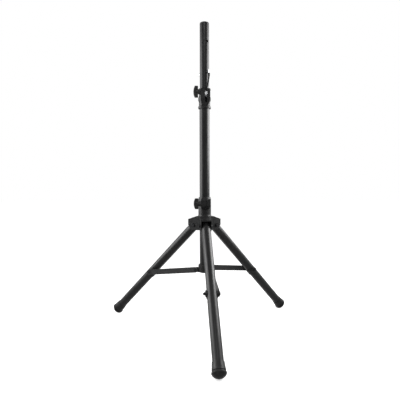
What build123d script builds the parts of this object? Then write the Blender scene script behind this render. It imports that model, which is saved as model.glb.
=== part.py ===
from build123d import *
import math
import os

# Speaker tripod stand, in millimetres. The origin is on the pole's axis at floor level, +Z is up and the
# front leg points along -Y. Pieces that repeat round the pole are drawn on +X, radially outwards, with +Y
# tangential, and then turned to their azimuth.

# ---- driving dimensions ----
AZIMUTHS = {"front": -90, "right": 30, "left": 150}

POLE_R = 17.5              # 35 mm pole, the standard speaker socket size
POLE_WALL = 2.0
POLE_TOP_Z = 1143.0        # end of the metal; the cap's lip stands on it
POLE_BOTTOM_Z = 236.0
CAP_LIP = 4.0
PIN_HOLE_TOP_Z = 1075.0
PIN_HOLE_PITCH = 112.5
PIN_HOLE_COUNT = 7
PIN_R = 4.5
PIN_AZIMUTH = -57.0        # direction in which the safety pin pulls out
SOCKET_LINE_Z = 1038.0     # shallow turned line, below the stretch that enters a speaker's socket
SOCKET_LINE_DEPTH = 0.3

TUBE_R = 19.0
TUBE_WALL = 1.2
TUBE_BOTTOM_Z = 212.0
TUBE_TOP_Z = 868.0
GAP = 0.3                  # between sliding pieces
PIVOT_GAP = 0.06           # radial, between a pivot pin and its hole

STUD_R = 4.0               # clamp studs, M8
NUT_FLATS = 13.0
NUT_HEIGHT = 6.4
UPPER_SLIT = 7.5           # width of the split between a clamp's ears
LOWER_SLIT = 1.6
SLIT_X = 2.0               # the slits are a little off the middle
EAR_HALF = 17.5
EAR_FRONT = 40.0
STUD_Y = -31.0
COLLAR_R = 24.0
COLLAR_Z = (828.0, 902.0)
LINER_R = 20.5
UPPER_STUD_Z = 884.0
UPPER_EARS_Z = (835.0, 856.0, 896.5)     # tip of the gusset, foot and top of the ears
LOWER_STUD_Z = 473.0
LOWER_EARS_Z = (449.0, 461.0, 490.0)
KNOB_DEPTH = 18.0          # of the stud inside its knob
KNOB_BOSS_R = 9.0
KNOB_BAR = (9.0, 21.0, 26.0)             # front, back at the ends and back in the middle, from the ear
KNOB_BAR_HALF = 6.5
KNOB_EDGE = 2.2
KNOB_FLANGE = (10.5, 3.0)                # corner radius and thickness

HUB_Z = (425.0, 497.0)     # sleeve of the sliding hub
HUB_SHOULDER = 8.0
SPIDER_BOTTOM_Z = 372.0
BRACKET_HALF = 20.0        # half the width over a bracket's cheeks
BRACKET_WALL = 2.5
BRACKET_R = 60.5

LEG_R = 17.0
LEG_WALL = 1.5
LEG_PIVOT = (41.0, 389.73)               # radius and height
LEG_ANGLE = 44.59                        # from the vertical
LEG_START = -7.0                         # end of the tube above the pivot
FOOT_CENTRE_R = 406.5
FOOT_SOCKET = 8.0                        # the tube stops this far short of the foot's centre
STRUT_ON_LEG = 276.34                    # along the leg, from its pivot
SADDLE_R = 19.4
SADDLE_LENGTH = 28.0
EAR_R = 11.0

STRUT_BASE = (30.0, 221.0)               # radius and height
STRUT_LENGTH = 206.91
STRUT_DROP = 7.794                       # degrees below the horizontal
STRUT_FACE = 24.5                        # outer face of a strut, from the plane of its leg
STRUT_WALL = 3.0
STRUT_HEIGHT = 21.0
RIVET_R = 3.0
PIVOT_FACE = STRUT_FACE - STRUT_WALL - GAP     # what a strut bears against at each end

BASE_Z = (212.0, 241.0)
BASE_R = 24.5
LUG_INNER = 6.0
LUG_R = 8.5

PIN_Z = PIN_HOLE_TOP_Z - PIN_HOLE_PITCH
EYE_RHO = 27.0
EYE_HALF = 6.0
CORD_R = 2.4
CRIMP_R = 3.2
RING_R = (8.6, 11.2)
RING_WIDTH = 6.4
RING_BEVEL = 1.0
# lanyard route, from the crimp down to the front of the ring on the upper clamp stud
CORD_ROUTE = [(14.7, -22.6, 944), (13.9, -23.0, 936), (10.2, -25.0, 918), (7.8, -31.0, 908),
              (5.4, -40.5, 899), (3.0, -43.8, 891.5), (2.0, -41.6, 885.2)]

# outline of a rubber foot, as (radius, distance from its centre along the leg)
FOOT_SLEEVE = [(0, -29), (18.6, -29), (20.9, -5.6), (20.5, -5.0), (19.2, -4.6), (19.2, -1.8)]
FOOT_RIM = [(21.6, -1.0), (22.4, 0.2), (22.4, 2), (21.9, 4), (20.6, 6.5), (18.4, 9)]
FOOT_DOME = [(15.5, 11.5), (12, 13.8), (8, 15.6), (4, 16.6), (0, 17)]

UP = (Align.CENTER, Align.CENTER, Align.MIN)
DOWN = (Align.CENTER, Align.CENTER, Align.MAX)


# ---- helpers ----
def rod(start, direction, length, radius):
    """A cylinder from a point along a direction."""
    return Plane(origin=start, z_dir=direction) * Cylinder(radius, length, align=UP)


def pipe(r_out, r_in, z0, z1):
    return Pos(0, 0, z0) * (Cylinder(r_out, z1 - z0, align=UP) - Cylinder(r_in, z1 - z0, align=UP))


def turned(points):
    """A solid of revolution about Z from an outline of (radius, height) points."""
    outline = Polyline(*[(r, 0, z) for r, z in points], close=True)
    return revolve(make_face(outline), Axis.Z)


def slab(points, y0, y1):
    """A plate from an outline of (x, z) points, between two values of y."""
    outline = Polyline(*[(x, y0, z) for x, z in points], close=True)
    return extrude(make_face(outline), amount=y1 - y0, dir=(0, 1, 0))


def hexagon(start, direction, length, flats):
    body = extrude(RegularPolygon(flats / 2, 6, major_radius=False), amount=length)
    return Plane(origin=start, z_dir=direction) * body


def dome(start, direction, radius, height):
    """A low screw or rivet head: a disc with a chamfered rim."""
    disc = Cylinder(radius, height, align=UP)
    disc = chamfer(disc.edges().group_by(Axis.Z)[-1], height * 0.45)
    return Plane(origin=start, z_dir=direction) * disc


def around(shape, name):
    return Rot(0, 0, AZIMUTHS[name]) * shape


def save(node, shape):
    shape.label = node
    export_step(shape, f"parts/{node}.step")


# ---- column ----
def outer_tube():
    return pipe(TUBE_R, TUBE_R - TUBE_WALL, TUBE_BOTTOM_Z, TUBE_TOP_Z)


def tube_bottom_plug():
    inner = TUBE_R - TUBE_WALL
    low = TUBE_BOTTOM_Z - 2
    return turned([(0, low), (TUBE_R - 1, low), (TUBE_R, low + 1), (TUBE_R, TUBE_BOTTOM_Z),
                   (inner, TUBE_BOTTOM_Z), (inner, TUBE_BOTTOM_Z + 16), (0, TUBE_BOTTOM_Z + 16)])


def base_collar():
    low, high = BASE_Z
    body = turned([(TUBE_R, low), (BASE_R - 1, low), (BASE_R, low + 1), (BASE_R, high - 2),
                   (BASE_R - 2, high), (TUBE_R, high)])
    radius, height = STRUT_BASE
    width = PIVOT_FACE - LUG_INNER
    lug = Pos(radius / 2, LUG_INNER + width / 2, height) * Box(radius, width, 2 * LUG_R)
    lug += rod((radius, LUG_INNER, height), (0, 1, 0), width, LUG_R)
    lug -= rod((radius, LUG_INNER, height), (0, 1, 0), width, RIVET_R)
    for name in AZIMUTHS:
        body += around(lug, name)
    return body - Pos(0, 0, low) * Cylinder(TUBE_R, high - low, align=UP)


def base_rivet():
    radius, height = STRUT_BASE
    outer = STRUT_FACE + GAP
    body = rod((radius, LUG_INNER, height), (0, 1, 0), outer - LUG_INNER, RIVET_R)
    body += dome((radius, outer, height), (0, 1, 0), 5.5, 2.2)
    return body + dome((radius, LUG_INNER, height), (0, -1, 0), 5.5, 2.2)


# ---- clamps ----
def ears(levels, stud_z):
    """Two clamp ears with tapering gussets, still joined, on the front of a collar."""
    tip, foot, top = levels
    side = [(-15, top), (4 - EAR_FRONT, top), (-EAR_FRONT, top - 4), (-EAR_FRONT, foot + 4), (-COLLAR_R, tip),
            (-15, tip)]
    outline = Polyline(*[(0, y, z) for y, z in side], close=True)
    body = extrude(make_face(outline), amount=EAR_HALF, dir=(1, 0, 0), both=True)
    swell = 0.45 * foot + 0.55 * tip
    left = [(-5, tip), (-11, 0.2 * foot + 0.8 * tip), (3 - EAR_HALF, swell), (-EAR_HALF, foot)]
    right = [(-x, z) for x, z in reversed(left)]
    body &= slab([(-EAR_HALF, top), (EAR_HALF, top)] + right + left, -EAR_FRONT - 5, 0)
    body -= nut_blank(stud_z)
    return body - rod((-EAR_HALF, STUD_Y, stud_z), (1, 0, 0), 2 * EAR_HALF, STUD_R + PIVOT_GAP)


def nut_blank(stud_z):
    """The hexagon that a clamp nut fills, flush with the outside of its ear."""
    return hexagon((EAR_HALF - NUT_HEIGHT, STUD_Y, stud_z), (1, 0, 0), NUT_HEIGHT, NUT_FLATS)


def split(levels, top, width):
    """The slit between the ears, open at the top."""
    low = levels[0] + 12
    return Pos(SLIT_X, -30, (low + top + 1) / 2) * Box(width, 30, top + 1 - low)


def upper_collar():
    """Foot ring, narrow neck, swelling, waist and top ring, with the ears on the front."""
    low, high = COLLAR_Z
    outline = [(TUBE_R, low), (22.9, low), (23.7, low + 1), (23.7, low + 7.5), (21.2, low + 10.5),
               (21.2, low + 25), (23.7, low + 31), (23.7, low + 40), (20.8, low + 47), (20.8, high - 9),
               (23, high - 5), (23, high - 1), (22.2, high), (TUBE_R, high)]
    body = turned(outline) + ears(UPPER_EARS_Z, UPPER_STUD_Z)
    body -= Pos(0, 0, low) * Cylinder(TUBE_R, high - low, align=UP)
    return body - split(UPPER_EARS_Z, high, UPPER_SLIT)


def liner(z0, z1, r_in, r_out):
    """Thin split bush inside a clamp, with its gap at the back."""
    return pipe(r_out, r_in, z0, z1) - Pos(0, r_in, (z0 + z1) / 2) * Box(3, 8, z1 - z0 + 1)


def hub_sleeve():
    low, high = HUB_Z
    body = turned([(LINER_R, low), (COLLAR_R + 1.5, low), (COLLAR_R, low + 6),
                   (COLLAR_R, high - HUB_SHOULDER), (LINER_R + 1.2, high), (LINER_R, high)])
    body += ears(LOWER_EARS_Z, LOWER_STUD_Z)
    body -= Pos(0, 0, low) * Cylinder(LINER_R, high - low, align=UP)
    return body - split(LOWER_EARS_Z, high, LOWER_SLIT)


def clamp_nut(stud_z):
    start = (EAR_HALF - NUT_HEIGHT, STUD_Y, stud_z)
    return nut_blank(stud_z) - rod(start, (1, 0, 0), NUT_HEIGHT, STUD_R + PIVOT_GAP)


def knob(stud_z, length):
    """T-handle: a bar with a bowed back across a round boss, and an eight-sided flange against the ear."""
    ear = -EAR_HALF - GAP
    front, back, bow = [ear - depth for depth in KNOB_BAR]
    half = length / 2
    outline = ThreePointArc((back, half), (bow, 0), (back, -half))
    outline += Polyline((back, -half), (front, -half), (front, half), (back, half))
    bar = extrude(make_face(outline), amount=KNOB_BAR_HALF, both=True)
    bar = fillet(bar.edges(), KNOB_EDGE)
    body = Plane(origin=(0, STUD_Y, stud_z), x_dir=(1, 0, 0), z_dir=(0, -1, 0)) * bar
    body += rod((ear, STUD_Y, stud_z), (-1, 0, 0), KNOB_DEPTH, KNOB_BOSS_R)
    flange = extrude(RegularPolygon(KNOB_FLANGE[0], 8), amount=KNOB_FLANGE[1])
    body += Plane(origin=(ear, STUD_Y, stud_z), z_dir=(-1, 0, 0)) * flange
    return body - rod((ear, STUD_Y, stud_z), (-1, 0, 0), KNOB_DEPTH, STUD_R)


def stud(stud_z):
    start = -EAR_HALF - GAP - KNOB_DEPTH
    body = Cylinder(STUD_R, EAR_HALF + 1.5 - start, align=UP)
    body = chamfer(body.edges().group_by(Axis.Z)[-1], 1)
    return Plane(origin=(start, STUD_Y, stud_z), z_dir=(1, 0, 0)) * body


# ---- telescoping pole ----
def pin_axis():
    angle = math.radians(PIN_AZIMUTH)
    return Vector(math.cos(angle), math.sin(angle), 0)


def along_pin(rho, z):
    return pin_axis() * rho + Vector(0, 0, z)


def inner_pole():
    body = pipe(POLE_R, POLE_R - POLE_WALL, POLE_BOTTOM_Z, POLE_TOP_Z)
    body -= pipe(POLE_R + 1, POLE_R - SOCKET_LINE_DEPTH, SOCKET_LINE_Z, SOCKET_LINE_Z + 2)
    for index in range(PIN_HOLE_COUNT):
        height = PIN_HOLE_TOP_Z - index * PIN_HOLE_PITCH
        body -= rod(along_pin(-30, height), pin_axis(), 60, PIN_R + PIVOT_GAP)
    return body


def pole_cap():
    inner = POLE_R - POLE_WALL
    top = POLE_TOP_Z + CAP_LIP
    return turned([(0, POLE_TOP_Z - 14), (inner - 1, POLE_TOP_Z - 14), (inner, POLE_TOP_Z - 13),
                   (inner, POLE_TOP_Z), (POLE_R, POLE_TOP_Z), (POLE_R, top - 3), (POLE_R - 0.7, top - 1.7),
                   (POLE_R - 2.2, top - 0.7), (POLE_R - 5, top), (0, top)])


def pole_guide():
    inner = POLE_R - POLE_WALL
    low = POLE_BOTTOM_Z - 5
    return turned([(0, low), (POLE_R - 1, low), (POLE_R, low + 1), (POLE_R, POLE_BOTTOM_Z),
                   (inner, POLE_BOTTOM_Z), (inner, POLE_BOTTOM_Z + 18), (0, POLE_BOTTOM_Z + 18)])


# ---- safety pin and lanyard ----
def safety_pin():
    """A round pin with a stop disc and a flat eye, pushed through both walls of the pole."""
    shank = Cylinder(PIN_R, 61, align=UP)
    shank = chamfer(shank.edges().group_by(Axis.Z)[0], 2.5)
    body = Plane(origin=along_pin(-39, PIN_Z), z_dir=pin_axis()) * shank
    body += rod(along_pin(POLE_R + 0.5, PIN_Z), pin_axis(), 4, EYE_HALF)
    side = pin_axis().cross(Vector(0, 0, 1))
    flat = Plane(origin=along_pin(EYE_RHO, PIN_Z) - side * 1.5, x_dir=pin_axis(), z_dir=side)
    eye = Cylinder(EYE_HALF, 3, align=UP) + Pos(-3, 0, 1.5) * Box(6, 2 * EYE_HALF, 3)
    eye -= Cylinder(2.2, 3, align=UP)
    return body + flat * eye


def lanyard_crimp():
    x, y, z = CORD_ROUTE[0]
    return Pos(x, y, z) * Cylinder(CRIMP_R, PIN_Z - EYE_HALF - GAP - z, align=UP)


def lanyard():
    """Cord as straight runs and tangent arcs along the route."""
    turns = []
    points = [Vector(*p) for p in CORD_ROUTE]
    for before, here, after in zip(points, points[1:], points[2:]):
        run = min((here - before).length, (after - here).length)
        half_turn = math.radians((here - before).get_angle(after - here)) / 2
        turns.append(0.45 * run / math.tan(half_turn))
    path = FilletPolyline(*points, radius=turns)
    profile = Plane(origin=points[0], z_dir=path % 0) * Circle(CORD_R)
    return sweep(profile, path=path)


def lanyard_ring():
    """Flat ring hanging on the upper clamp's stud, between the ears."""
    inner, outer = RING_R
    half = RING_WIDTH / 2
    step = half - RING_BEVEL
    ring = turned([(inner, -half), (outer - RING_BEVEL, -half), (outer, -step), (outer, step),
                   (outer - RING_BEVEL, half), (inner, half)])
    return Pos(SLIT_X, STUD_Y, UPPER_STUD_Z + STUD_R + GAP - inner) * Rot(0, 90, 0) * ring


# ---- hub spider and its bolts ----
def hub_spider():
    """Three open-ended channels round the tube, each with a sloping top plate and two cheeks."""
    inner = TUBE_R + GAP
    top = HUB_Z[0]
    body = pipe(21.6, inner, SPIDER_BOTTOM_Z + 6, top)
    plate = slab([(0, top), (26, top), (BRACKET_R, 413), (BRACKET_R, 409), (26, top - 4), (0, top - 4)],
                 -BRACKET_HALF, BRACKET_HALF)
    outline = [(9, top - 1), (26, top - 1), (BRACKET_R, 412), (BRACKET_R, 392), (50, SPIDER_BOTTOM_Z),
               (9, SPIDER_BOTTOM_Z)]
    cheek = slab(outline, BRACKET_HALF - BRACKET_WALL, BRACKET_HALF)
    radius, height = LEG_PIVOT
    bracket = plate + cheek + mirror(cheek, Plane.XZ)
    bracket -= rod((radius, -30, height), (0, 1, 0), 60, STUD_R)
    for name in AZIMUTHS:
        body += around(bracket, name)
    return body - Pos(0, 0, SPIDER_BOTTOM_Z) * Cylinder(inner, top - SPIDER_BOTTOM_Z, align=UP)


def leg_pivot_bolt():
    radius, height = LEG_PIVOT
    body = rod((radius, -BRACKET_HALF - 7, height), (0, 1, 0), 2 * BRACKET_HALF + 7, STUD_R)
    return body + dome((radius, BRACKET_HALF, height), (0, 1, 0), 7.5, 3.5)


def leg_pivot_nut():
    radius, height = LEG_PIVOT
    start = (radius, -BRACKET_HALF, height)
    return hexagon(start, (0, -1, 0), 5, NUT_FLATS) - rod(start, (0, -1, 0), 5, STUD_R)


# ---- legs ----
def leg_frame(distance):
    """Plane across the leg's axis at a distance from its pivot, with its normal down the leg."""
    angle = math.radians(LEG_ANGLE)
    down = (math.sin(angle), 0, -math.cos(angle))
    radius, height = LEG_PIVOT
    origin = (radius + down[0] * distance, 0, height + down[2] * distance)
    return Plane(origin=origin, x_dir=(0, 1, 0), z_dir=down)


def foot_distance():
    return (FOOT_CENTRE_R - LEG_PIVOT[0]) / math.sin(math.radians(LEG_ANGLE))


def pivot_hole():
    radius, height = LEG_PIVOT
    return rod((radius, -30, height), (0, 1, 0), 60, STUD_R + PIVOT_GAP)


def bolt_core(start, end, radius):
    """Part of the bolt across a leg at its saddle, between two distances from the leg's plane."""
    return leg_frame(STRUT_ON_LEG) * rod((start, 0, 0), (1, 0, 0), end - start, radius)


def leg():
    length = foot_distance() - FOOT_SOCKET - LEG_START
    body = Cylinder(LEG_R, length, align=UP) - Cylinder(LEG_R - LEG_WALL, length, align=UP)
    return leg_frame(LEG_START) * body - pivot_hole() - bolt_core(-LEG_R, LEG_R, RIVET_R)


def leg_top_plug():
    body = Cylinder(LEG_R - LEG_WALL, 20, align=UP) + Pos(0, 0, -1.5) * Cylinder(LEG_R, 1.5, align=UP)
    return leg_frame(LEG_START) * body - pivot_hole()


def leg_bracket():
    """Moulded saddle under the leg, with an ear on each side of it."""
    below = Pos(0, -SADDLE_R / 2, 0) * Box(2 * SADDLE_R, SADDLE_R, SADDLE_LENGTH)
    body = Cylinder(SADDLE_R, SADDLE_LENGTH) & below
    body += Rot(0, 90, 0) * Cylinder(EAR_R, 2 * PIVOT_FACE)
    body -= Cylinder(LEG_R, 2 * SADDLE_LENGTH)
    return leg_frame(STRUT_ON_LEG) * body - bolt_core(-PIVOT_FACE, PIVOT_FACE, RIVET_R)


def leg_bolt():
    """Bolt across the leg and its saddle, flush with one ear, with its nut against the other."""
    body = bolt_core(-PIVOT_FACE - 8, PIVOT_FACE, RIVET_R)
    nut = hexagon((-PIVOT_FACE, 0, 0), (-1, 0, 0), 5, 10)
    return body + leg_frame(STRUT_ON_LEG) * nut


def foot():
    """Rubber foot: a flaring sleeve, a groove, a rim and a low dome cut flat where it meets the floor."""
    body = turned(FOOT_SLEEVE + FOOT_RIM + FOOT_DOME)
    body -= Pos(0, 0, -FOOT_SOCKET) * Cylinder(LEG_R, 40, align=DOWN)
    floor = Pos(FOOT_CENTRE_R, 0, 0) * Box(100, 100, 50, align=DOWN)
    return leg_frame(foot_distance()) * body - floor


# ---- struts ----
def strut_frame():
    radius, height = STRUT_BASE
    return Pos(radius, 0, height) * Rot(0, STRUT_DROP, 0)


def strut():
    """Flat bar with round ends that runs beside its leg's plane."""
    inner = STRUT_FACE - STRUT_WALL
    ends = [0, STRUT_LENGTH]
    bar = Pos(STRUT_LENGTH / 2, inner + STRUT_WALL / 2, 0) * Box(STRUT_LENGTH, STRUT_WALL, STRUT_HEIGHT)
    for x in ends:
        bar += rod((x, inner, 0), (0, 1, 0), STRUT_WALL, STRUT_HEIGHT / 2)
    bar -= rod((0, inner, 0), (0, 1, 0), STRUT_WALL, RIVET_R + PIVOT_GAP)
    bar -= rod((STRUT_LENGTH, inner, 0), (0, 1, 0), STRUT_WALL, RIVET_R)
    return strut_frame() * bar


def strut_screw():
    """Head of the bolt at the strut's outer end, with its shank through the bar."""
    inner = STRUT_FACE - STRUT_WALL
    body = rod((STRUT_LENGTH, inner, 0), (0, 1, 0), STRUT_WALL, RIVET_R)
    return strut_frame() * (body + dome((STRUT_LENGTH, STRUT_FACE, 0), (0, 1, 0), 6.5, 3))


# ---- writing the nodes ----
os.makedirs("parts", exist_ok=True)

save("outer_tube", outer_tube())
save("tube_bottom_plug", tube_bottom_plug())
save("base_collar", base_collar())
save("base_pivot_rivets", Compound(children=[around(base_rivet(), name) for name in AZIMUTHS]))
save("upper_collar", upper_collar())
save("upper_clamp_liner", liner(TUBE_TOP_Z, COLLAR_Z[1], POLE_R + GAP, TUBE_R))
save("upper_clamp_nut", clamp_nut(UPPER_STUD_Z))
save("upper_knob", knob(UPPER_STUD_Z, 42))
save("upper_knob_stud", stud(UPPER_STUD_Z))

save("inner_pole", inner_pole())
save("pole_cap", pole_cap())
save("pole_guide", pole_guide())
save("safety_pin", safety_pin())
save("lanyard_crimp", lanyard_crimp())
save("lanyard", lanyard())
save("lanyard_ring", lanyard_ring())

save("hub_sleeve", hub_sleeve())
save("hub_liner", liner(*HUB_Z, TUBE_R + GAP, LINER_R))
save("hub_spider", hub_spider())
save("lower_clamp_nut", clamp_nut(LOWER_STUD_Z))
save("lower_knob", knob(LOWER_STUD_Z, 40))
save("lower_knob_stud", stud(LOWER_STUD_Z))
save("leg_pivot_bolts", Compound(children=[around(leg_pivot_bolt(), name) for name in AZIMUTHS]))
save("leg_pivot_nuts", Compound(children=[around(leg_pivot_nut(), name) for name in AZIMUTHS]))

for side in AZIMUTHS:
    save(f"leg_{side}", around(leg(), side))
    save(f"leg_plug_{side}", around(leg_top_plug(), side))
    save(f"leg_bracket_{side}", around(leg_bracket(), side))
    save(f"leg_bolt_{side}", around(leg_bolt(), side))
    save(f"foot_{side}", around(foot(), side))
    save(f"strut_{side}", around(strut(), side))
    save(f"strut_screw_{side}", around(strut_screw(), side))
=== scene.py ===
import bpy
import bmesh
import math
from mathutils import Matrix, Vector


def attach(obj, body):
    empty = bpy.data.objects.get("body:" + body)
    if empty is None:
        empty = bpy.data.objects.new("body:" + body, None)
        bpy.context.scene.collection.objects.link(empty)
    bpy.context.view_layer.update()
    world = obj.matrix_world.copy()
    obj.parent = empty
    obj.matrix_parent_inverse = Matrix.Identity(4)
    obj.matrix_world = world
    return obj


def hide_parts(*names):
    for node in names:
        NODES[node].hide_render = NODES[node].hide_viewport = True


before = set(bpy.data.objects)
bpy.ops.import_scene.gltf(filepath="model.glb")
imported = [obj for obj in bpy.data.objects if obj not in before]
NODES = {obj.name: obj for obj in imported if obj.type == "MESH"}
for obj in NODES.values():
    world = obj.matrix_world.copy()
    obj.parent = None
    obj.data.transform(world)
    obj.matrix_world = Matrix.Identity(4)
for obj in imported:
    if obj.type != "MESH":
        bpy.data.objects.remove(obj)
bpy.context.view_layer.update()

LEGS = ("front", "right", "left")


def each(stem):
    """The names of a piece that every leg has."""
    return [f"{stem}_{leg}" for leg in LEGS]


# ---- camera, in metres and degrees ----
CAMERA_AT = (-0.1405, -1.4519, 0.5366)
CAMERA_PITCH = -2.0          # negative is below the horizon
CAMERA_HEADING = 4.83        # clockwise from +Y
CAMERA_ROLL = -0.13
FIELD_RATIO = 385.0 / 400    # focal length over frame width
SENSOR_WIDTH = 36.0          # mm
CLIP_END = 50.0


def add_camera():
    data = bpy.data.cameras.new("camera")
    data.sensor_width = SENSOR_WIDTH
    data.lens = SENSOR_WIDTH * FIELD_RATIO
    data.clip_end = CLIP_END
    camera = bpy.data.objects.new("camera", data)
    bpy.context.scene.collection.objects.link(camera)
    turn = Matrix.Rotation(-math.radians(CAMERA_HEADING), 4, "Z")
    tilt = Matrix.Rotation(math.radians(90 + CAMERA_PITCH), 4, "X")
    roll = Matrix.Rotation(math.radians(CAMERA_ROLL), 4, "Z")
    camera.matrix_world = Matrix.Translation(CAMERA_AT) @ turn @ tilt @ roll
    bpy.context.scene.camera = camera


# ---- lights and floor, in metres ----
WHITE = (1, 1, 1, 1)
BACKDROP = 1.0               # brightness of the world where the camera sees it
ROOM_FRONT = 0.2             # brightness of the world on the stand, from the front
ROOM_BACK = 0.75             # and from behind
ROOM_FADE = (-0.1, 0.6)      # where front passes into back, along the direction's Y
SOFTBOXES = (                # name, place, aim, width, height, radiance
    ("right_box", (1.1, 0.15, 1.12), (0, 0.15, 1.12), 1.3, 0.95, 6.6),
    ("left_box", (-1.1, 0.05, 0.92), (0, 0.05, 0.92), 1.0, 1.15, 3.8),
    ("front_box", (-0.3, -2.1, 2.5), (0, 0, 0.6), 0.8, 0.7, 6.0),
)
FLOOR_RADIUS = 14
FLOOR_SIDES = 96
FLOOR_GREY = 0.8
FLOOR_ROUGHNESS = 0.9
FLOOR_GLOW = 0.7             # lifts the floor towards the backdrop's white


def add_softbox(name, at, target, width, height, radiance):
    """An area light of a given brightness per square metre, facing a point."""
    data = bpy.data.lights.new(name, "AREA")
    data.shape = "RECTANGLE"
    data.size = width
    data.size_y = height
    data.energy = radiance * math.pi * width * height
    light = bpy.data.objects.new(name, data)
    bpy.context.scene.collection.objects.link(light)
    facing = (Vector(target) - Vector(at)).to_track_quat("-Z", "Y")
    light.matrix_world = Matrix.Translation(at) @ facing.to_matrix().to_4x4()
    light.visible_camera = False


def map_range(tree, value, source, target):
    """Takes one range to another, smoothly and clamped at both ends."""
    node = tree.nodes.new("ShaderNodeMapRange")
    node.interpolation_type = "SMOOTHSTEP"
    node.inputs["From Min"].default_value, node.inputs["From Max"].default_value = source
    node.inputs["To Min"].default_value, node.inputs["To Max"].default_value = target
    tree.links.new(value, node.inputs["Value"])
    return node.outputs["Result"]


def add_world():
    """White where the camera sees it. What lights the stand is bright behind it and dim in front."""
    world = bpy.data.worlds.new("studio")
    bpy.context.scene.world = world
    world.use_nodes = True
    tree = world.node_tree
    tree.nodes.clear()
    output = tree.nodes.new("ShaderNodeOutputWorld")
    mix = tree.nodes.new("ShaderNodeMixShader")
    path = tree.nodes.new("ShaderNodeLightPath")
    coords = tree.nodes.new("ShaderNodeTexCoord")
    split = tree.nodes.new("ShaderNodeSeparateXYZ")
    seen = tree.nodes.new("ShaderNodeBackground")
    lit = tree.nodes.new("ShaderNodeBackground")
    for background in (seen, lit):
        background.inputs["Color"].default_value = WHITE
    seen.inputs["Strength"].default_value = BACKDROP
    tree.links.new(coords.outputs["Generated"], split.inputs[0])
    strength = map_range(tree, split.outputs["Y"], ROOM_FADE, (ROOM_FRONT, ROOM_BACK))
    tree.links.new(strength, lit.inputs["Strength"])
    tree.links.new(path.outputs["Is Camera Ray"], mix.inputs[0])
    tree.links.new(lit.outputs[0], mix.inputs[1])
    tree.links.new(seen.outputs[0], mix.inputs[2])
    tree.links.new(mix.outputs[0], output.inputs["Surface"])


def add_floor():
    """A pale disc that the stand's gloss doesn't mirror."""
    bm = bmesh.new()
    bmesh.ops.create_circle(bm, cap_ends=True, segments=FLOOR_SIDES, radius=FLOOR_RADIUS)
    mesh = bpy.data.meshes.new("floor")
    bm.to_mesh(mesh)
    bm.free()
    floor = bpy.data.objects.new("floor", mesh)
    bpy.context.scene.collection.objects.link(floor)
    material = bpy.data.materials.new("floor")
    material.use_nodes = True
    shader = material.node_tree.nodes["Principled BSDF"]
    shader.inputs["Base Color"].default_value = (FLOOR_GREY, FLOOR_GREY, FLOOR_GREY, 1)
    shader.inputs["Roughness"].default_value = FLOOR_ROUGHNESS
    shader.inputs["Emission Color"].default_value = WHITE
    shader.inputs["Emission Strength"].default_value = FLOOR_GLOW
    mesh.materials.append(material)
    floor.visible_glossy = False


# ---- materials ----
MIX_A, MIX_B, MIX_RESULT = 6, 7, 2    # sockets of the Mix node when it mixes colours
PIN_AZIMUTH = math.radians(-57)
STOP_DISC_FACES = (0.0177, 0.0223)             # inner and outer faces of the pin's stop disc, from the pole's axis
STOP_DISC_EDGE = 0.0001                  # half the width over which the dark colour sets in
# the dark colour that the pin is given over its stop disc
STOP_DISC_DARK = (0.01, 0.01, 0.01)


class Shader:
    """A node material built up from a Principled shader."""

    def __init__(self, name, base, rough, metallic=0.0, specular=0.5):
        self.material = bpy.data.materials.new(name)
        self.material.use_nodes = True
        self.tree = self.material.node_tree
        self.out = self.tree.nodes["Principled BSDF"]
        self.base = base
        self.out.inputs["Base Color"].default_value = (*base, 1)
        self.out.inputs["Roughness"].default_value = rough
        self.out.inputs["Metallic"].default_value = metallic
        self.out.inputs["Specular IOR Level"].default_value = specular
        self.coords = self.tree.nodes.new("ShaderNodeTexCoord").outputs["Object"]

    def link(self, source, target):
        self.tree.links.new(source, target)

    def noise(self, scale, detail, stretch=(1, 1, 1)):
        """Noise in the row frame, in cycles per metre."""
        mapping = self.tree.nodes.new("ShaderNodeMapping")
        mapping.inputs["Scale"].default_value = stretch
        self.link(self.coords, mapping.inputs["Vector"])
        node = self.tree.nodes.new("ShaderNodeTexNoise")
        node.inputs["Scale"].default_value = scale
        node.inputs["Detail"].default_value = detail
        self.link(mapping.outputs[0], node.inputs["Vector"])
        return node.outputs["Fac"]

    def span(self, value, source, target):
        return map_range(self.tree, value, source, target)

    def combine(self, operation, a, b):
        node = self.tree.nodes.new("ShaderNodeMath")
        node.operation = operation
        self.link(a, node.inputs[0])
        self.link(b, node.inputs[1])
        return node.outputs[0]

    def tint(self, value, other):
        """Base colour moves from its own to another as the value goes from 0 to 1."""
        node = self.tree.nodes.new("ShaderNodeMix")
        node.data_type = "RGBA"
        node.inputs[MIX_A].default_value = (*self.base, 1)
        node.inputs[MIX_B].default_value = (*other, 1)
        self.link(value, node.inputs["Factor"])
        self.link(node.outputs[MIX_RESULT], self.out.inputs["Base Color"])

    def rough(self, value):
        self.link(value, self.out.inputs["Roughness"])

    def bump(self, value, depth):
        """Relief of a given depth in metres."""
        node = self.tree.nodes.new("ShaderNodeBump")
        node.inputs["Strength"].default_value = 1.0
        node.inputs["Distance"].default_value = depth
        self.link(value, node.inputs["Height"])
        self.link(node.outputs[0], self.out.inputs["Normal"])


def powder_coat(name, base, rough):
    """Satin black powder coat: fine orange peel, patchy sheen and faint lengthwise rub marks."""
    shader = Shader(name, base, rough)
    peel = shader.noise(scale=1400, detail=2)
    patch = shader.noise(scale=9, detail=4)
    rubs = shader.noise(scale=60, detail=5, stretch=(6, 6, 0.12))
    marks = shader.span(rubs, (0.60, 0.74), (0, 1))
    worn = shader.combine("MULTIPLY", marks, shader.span(patch, (0.45, 0.65), (0, 0.5)))
    shader.tint(worn, (0.04, 0.04, 0.04))
    sheen = shader.span(patch, (0.3, 0.7), (rough - 0.04, rough + 0.06))
    dulled = shader.span(rubs, (0.58, 0.74), (0, 0.10))
    shader.rough(shader.combine("ADD", sheen, dulled))
    shader.bump(peel, depth=0.00003)
    return shader.material


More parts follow.
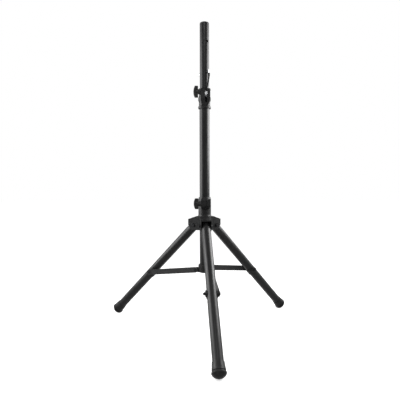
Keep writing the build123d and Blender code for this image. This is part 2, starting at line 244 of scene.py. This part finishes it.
def moulded_plastic(name, base, rough):
    """Moulded plastic with a spark-eroded grain and slightly uneven gloss."""
    shader = Shader(name, base, rough)
    shader.bump(shader.noise(scale=1800, detail=4), depth=0.00004)
    patch = shader.noise(scale=25, detail=3)
    shader.rough(shader.span(patch, (0.3, 0.7), (rough - 0.05, rough + 0.06)))
    lighter = tuple(channel * 1.7 for channel in base)
    shader.tint(shader.span(shader.noise(scale=140, detail=5), (0.55, 0.75), (0, 1)), lighter)
    return shader.material


def rubber(name):
    """Moulded rubber with a low sheen, dusty in patches."""
    shader = Shader(name, base=(0.009, 0.009, 0.009), rough=0.42)
    shader.bump(shader.noise(scale=2200, detail=4), depth=0.00003)
    dust = shader.noise(scale=70, detail=6)
    shader.tint(shader.span(dust, (0.55, 0.8), (0, 0.6)), (0.03, 0.029, 0.028))
    shader.rough(shader.span(dust, (0.3, 0.7), (0.34, 0.52)))
    return shader.material


def zinc_plating(name, base):
    """Zinc-plated steel, faintly brushed. Gives the shader, so that a piece can have more than plating."""
    shader = Shader(name, base, rough=0.40, metallic=0.45)
    lines = shader.noise(scale=900, detail=3, stretch=(1, 1, 0.2))
    shader.rough(shader.span(lines, (0.3, 0.7), (0.32, 0.48)))
    shader.bump(lines, depth=0.00001)
    return shader


def pin_steel(name):
    """Whitish plating, turned dark and not metallic over the pin's stop disc."""
    shader = zinc_plating(name, base=(0.86, 0.87, 0.88))
    along = shader.tree.nodes.new("ShaderNodeVectorMath")
    along.operation = "DOT_PRODUCT"
    along.inputs[1].default_value = (math.cos(PIN_AZIMUTH), math.sin(PIN_AZIMUTH), 0)
    shader.link(shader.coords, along.inputs[0])
    distance = along.outputs["Value"]
    inner, outer = ((face - STOP_DISC_EDGE, face + STOP_DISC_EDGE) for face in STOP_DISC_FACES)
    band = shader.combine("MULTIPLY", shader.span(distance, inner, (0, 1)),
                          shader.span(distance, outer, (1, 0)))
    shader.tint(band, STOP_DISC_DARK)
    shader.link(shader.span(band, (0, 1), (0.45, 0)), shader.out.inputs["Metallic"])
    return shader.material


def black_oxide(name):
    """Blackened fasteners with a dull metallic sheen."""
    shader = Shader(name, base=(0.028, 0.028, 0.03), rough=0.38, metallic=0.6)
    spots = shader.noise(scale=500, detail=4)
    shader.rough(shader.span(spots, (0.3, 0.7), (0.30, 0.48)))
    shader.bump(spots, depth=0.00002)
    return shader.material


def braid(name):
    """Woven jacket of the lanyard."""
    shader = Shader(name, base=(0.003, 0.003, 0.003), rough=0.75, specular=0.12)
    wave = shader.tree.nodes.new("ShaderNodeTexWave")
    wave.inputs["Scale"].default_value = 260
    wave.inputs["Distortion"].default_value = 1.5
    wave.bands_direction = "DIAGONAL"
    shader.link(shader.coords, wave.inputs["Vector"])
    shader.bump(wave.outputs["Fac"], depth=0.0003)
    shader.tint(wave.outputs["Fac"], (0.008, 0.008, 0.008))
    return shader.material


def dress(names, material):
    for name in names:
        for slot in NODES[name].material_slots:
            slot.material = material


# ---- the lanyard, in metres, along the same route as its solid ----
CORD_POINTS = [(0.0147, -0.0226, 0.944), (0.0139, -0.0230, 0.936), (0.0102, -0.0250, 0.918),
               (0.0078, -0.0310, 0.908), (0.0054, -0.0405, 0.899), (0.0030, -0.0438, 0.8915),
               (0.0020, -0.0416, 0.8852)]
CORD_RADIUS = 0.0024


def add_lanyard(material):
    curve = bpy.data.curves.new("lanyard_cord", "CURVE")
    curve.dimensions = "3D"
    curve.resolution_u = 12
    curve.bevel_depth = CORD_RADIUS
    curve.bevel_resolution = 5
    curve.use_fill_caps = True
    spline = curve.splines.new("NURBS")
    spline.points.add(len(CORD_POINTS) - 1)
    for point, place in zip(spline.points, CORD_POINTS):
        point.co = (*place, 1)
    spline.order_u = 3
    spline.use_endpoint_u = True
    cord = bpy.data.objects.new("lanyard_cord", curve)
    bpy.context.scene.collection.objects.link(cord)
    curve.materials.append(material)
    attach(cord, "column")
    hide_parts("lanyard")


# ---- building the scene ----
add_camera()
add_world()
add_floor()
for box in SOFTBOXES:
    add_softbox(*box)

jacket = braid("cord_jacket")

dress(["outer_tube", "inner_pole"],
      powder_coat("coated_steel", base=(0.008, 0.0082, 0.0085), rough=0.34))
# Same powder coat as the pole, with a lighter base colour: painted light on the legs.
dress(each("leg"),
      powder_coat("leg_coat_painted_lighter", base=(0.011, 0.0112, 0.0115), rough=0.35))
# Same powder coat as the pole, rougher and with a much lighter base colour: painted light on the lit tops
# of the bars.
dress(each("strut"),
      powder_coat("bar_coat_painted_lighter", base=(0.024, 0.0243, 0.0248), rough=0.45))
dress(["upper_collar", "hub_sleeve", "hub_spider", "base_collar"] + each("leg_bracket"),
      moulded_plastic("black_plastic", base=(0.009, 0.0092, 0.0094), rough=0.43))
dress(["upper_knob", "lower_knob"],
      moulded_plastic("knob_plastic", base=(0.012, 0.012, 0.012), rough=0.38))
dress(["tube_bottom_plug", "pole_cap", "pole_guide"] + each("leg_plug"),
      moulded_plastic("cap_plastic", base=(0.012, 0.012, 0.012), rough=0.5))
dress(["upper_clamp_liner", "hub_liner"],
      moulded_plastic("liner_plastic", base=(0.02, 0.02, 0.02), rough=0.5))
dress(each("foot"), rubber("foot_rubber"))
dress(["lanyard_ring", "upper_knob_stud"],
      zinc_plating("bright_steel", base=(0.58, 0.59, 0.60)).material)
dress(["safety_pin"], pin_steel("pin_steel"))
dress(["lower_knob_stud", "upper_clamp_nut", "lower_clamp_nut", "leg_pivot_bolts", "leg_pivot_nuts",
       "base_pivot_rivets"] + each("strut_screw") + each("leg_bolt"),
      black_oxide("dark_fastener"))
dress(["lanyard_crimp"], jacket)
add_lanyard(jacket)

bpy.context.scene.view_settings.view_transform = "Standard"
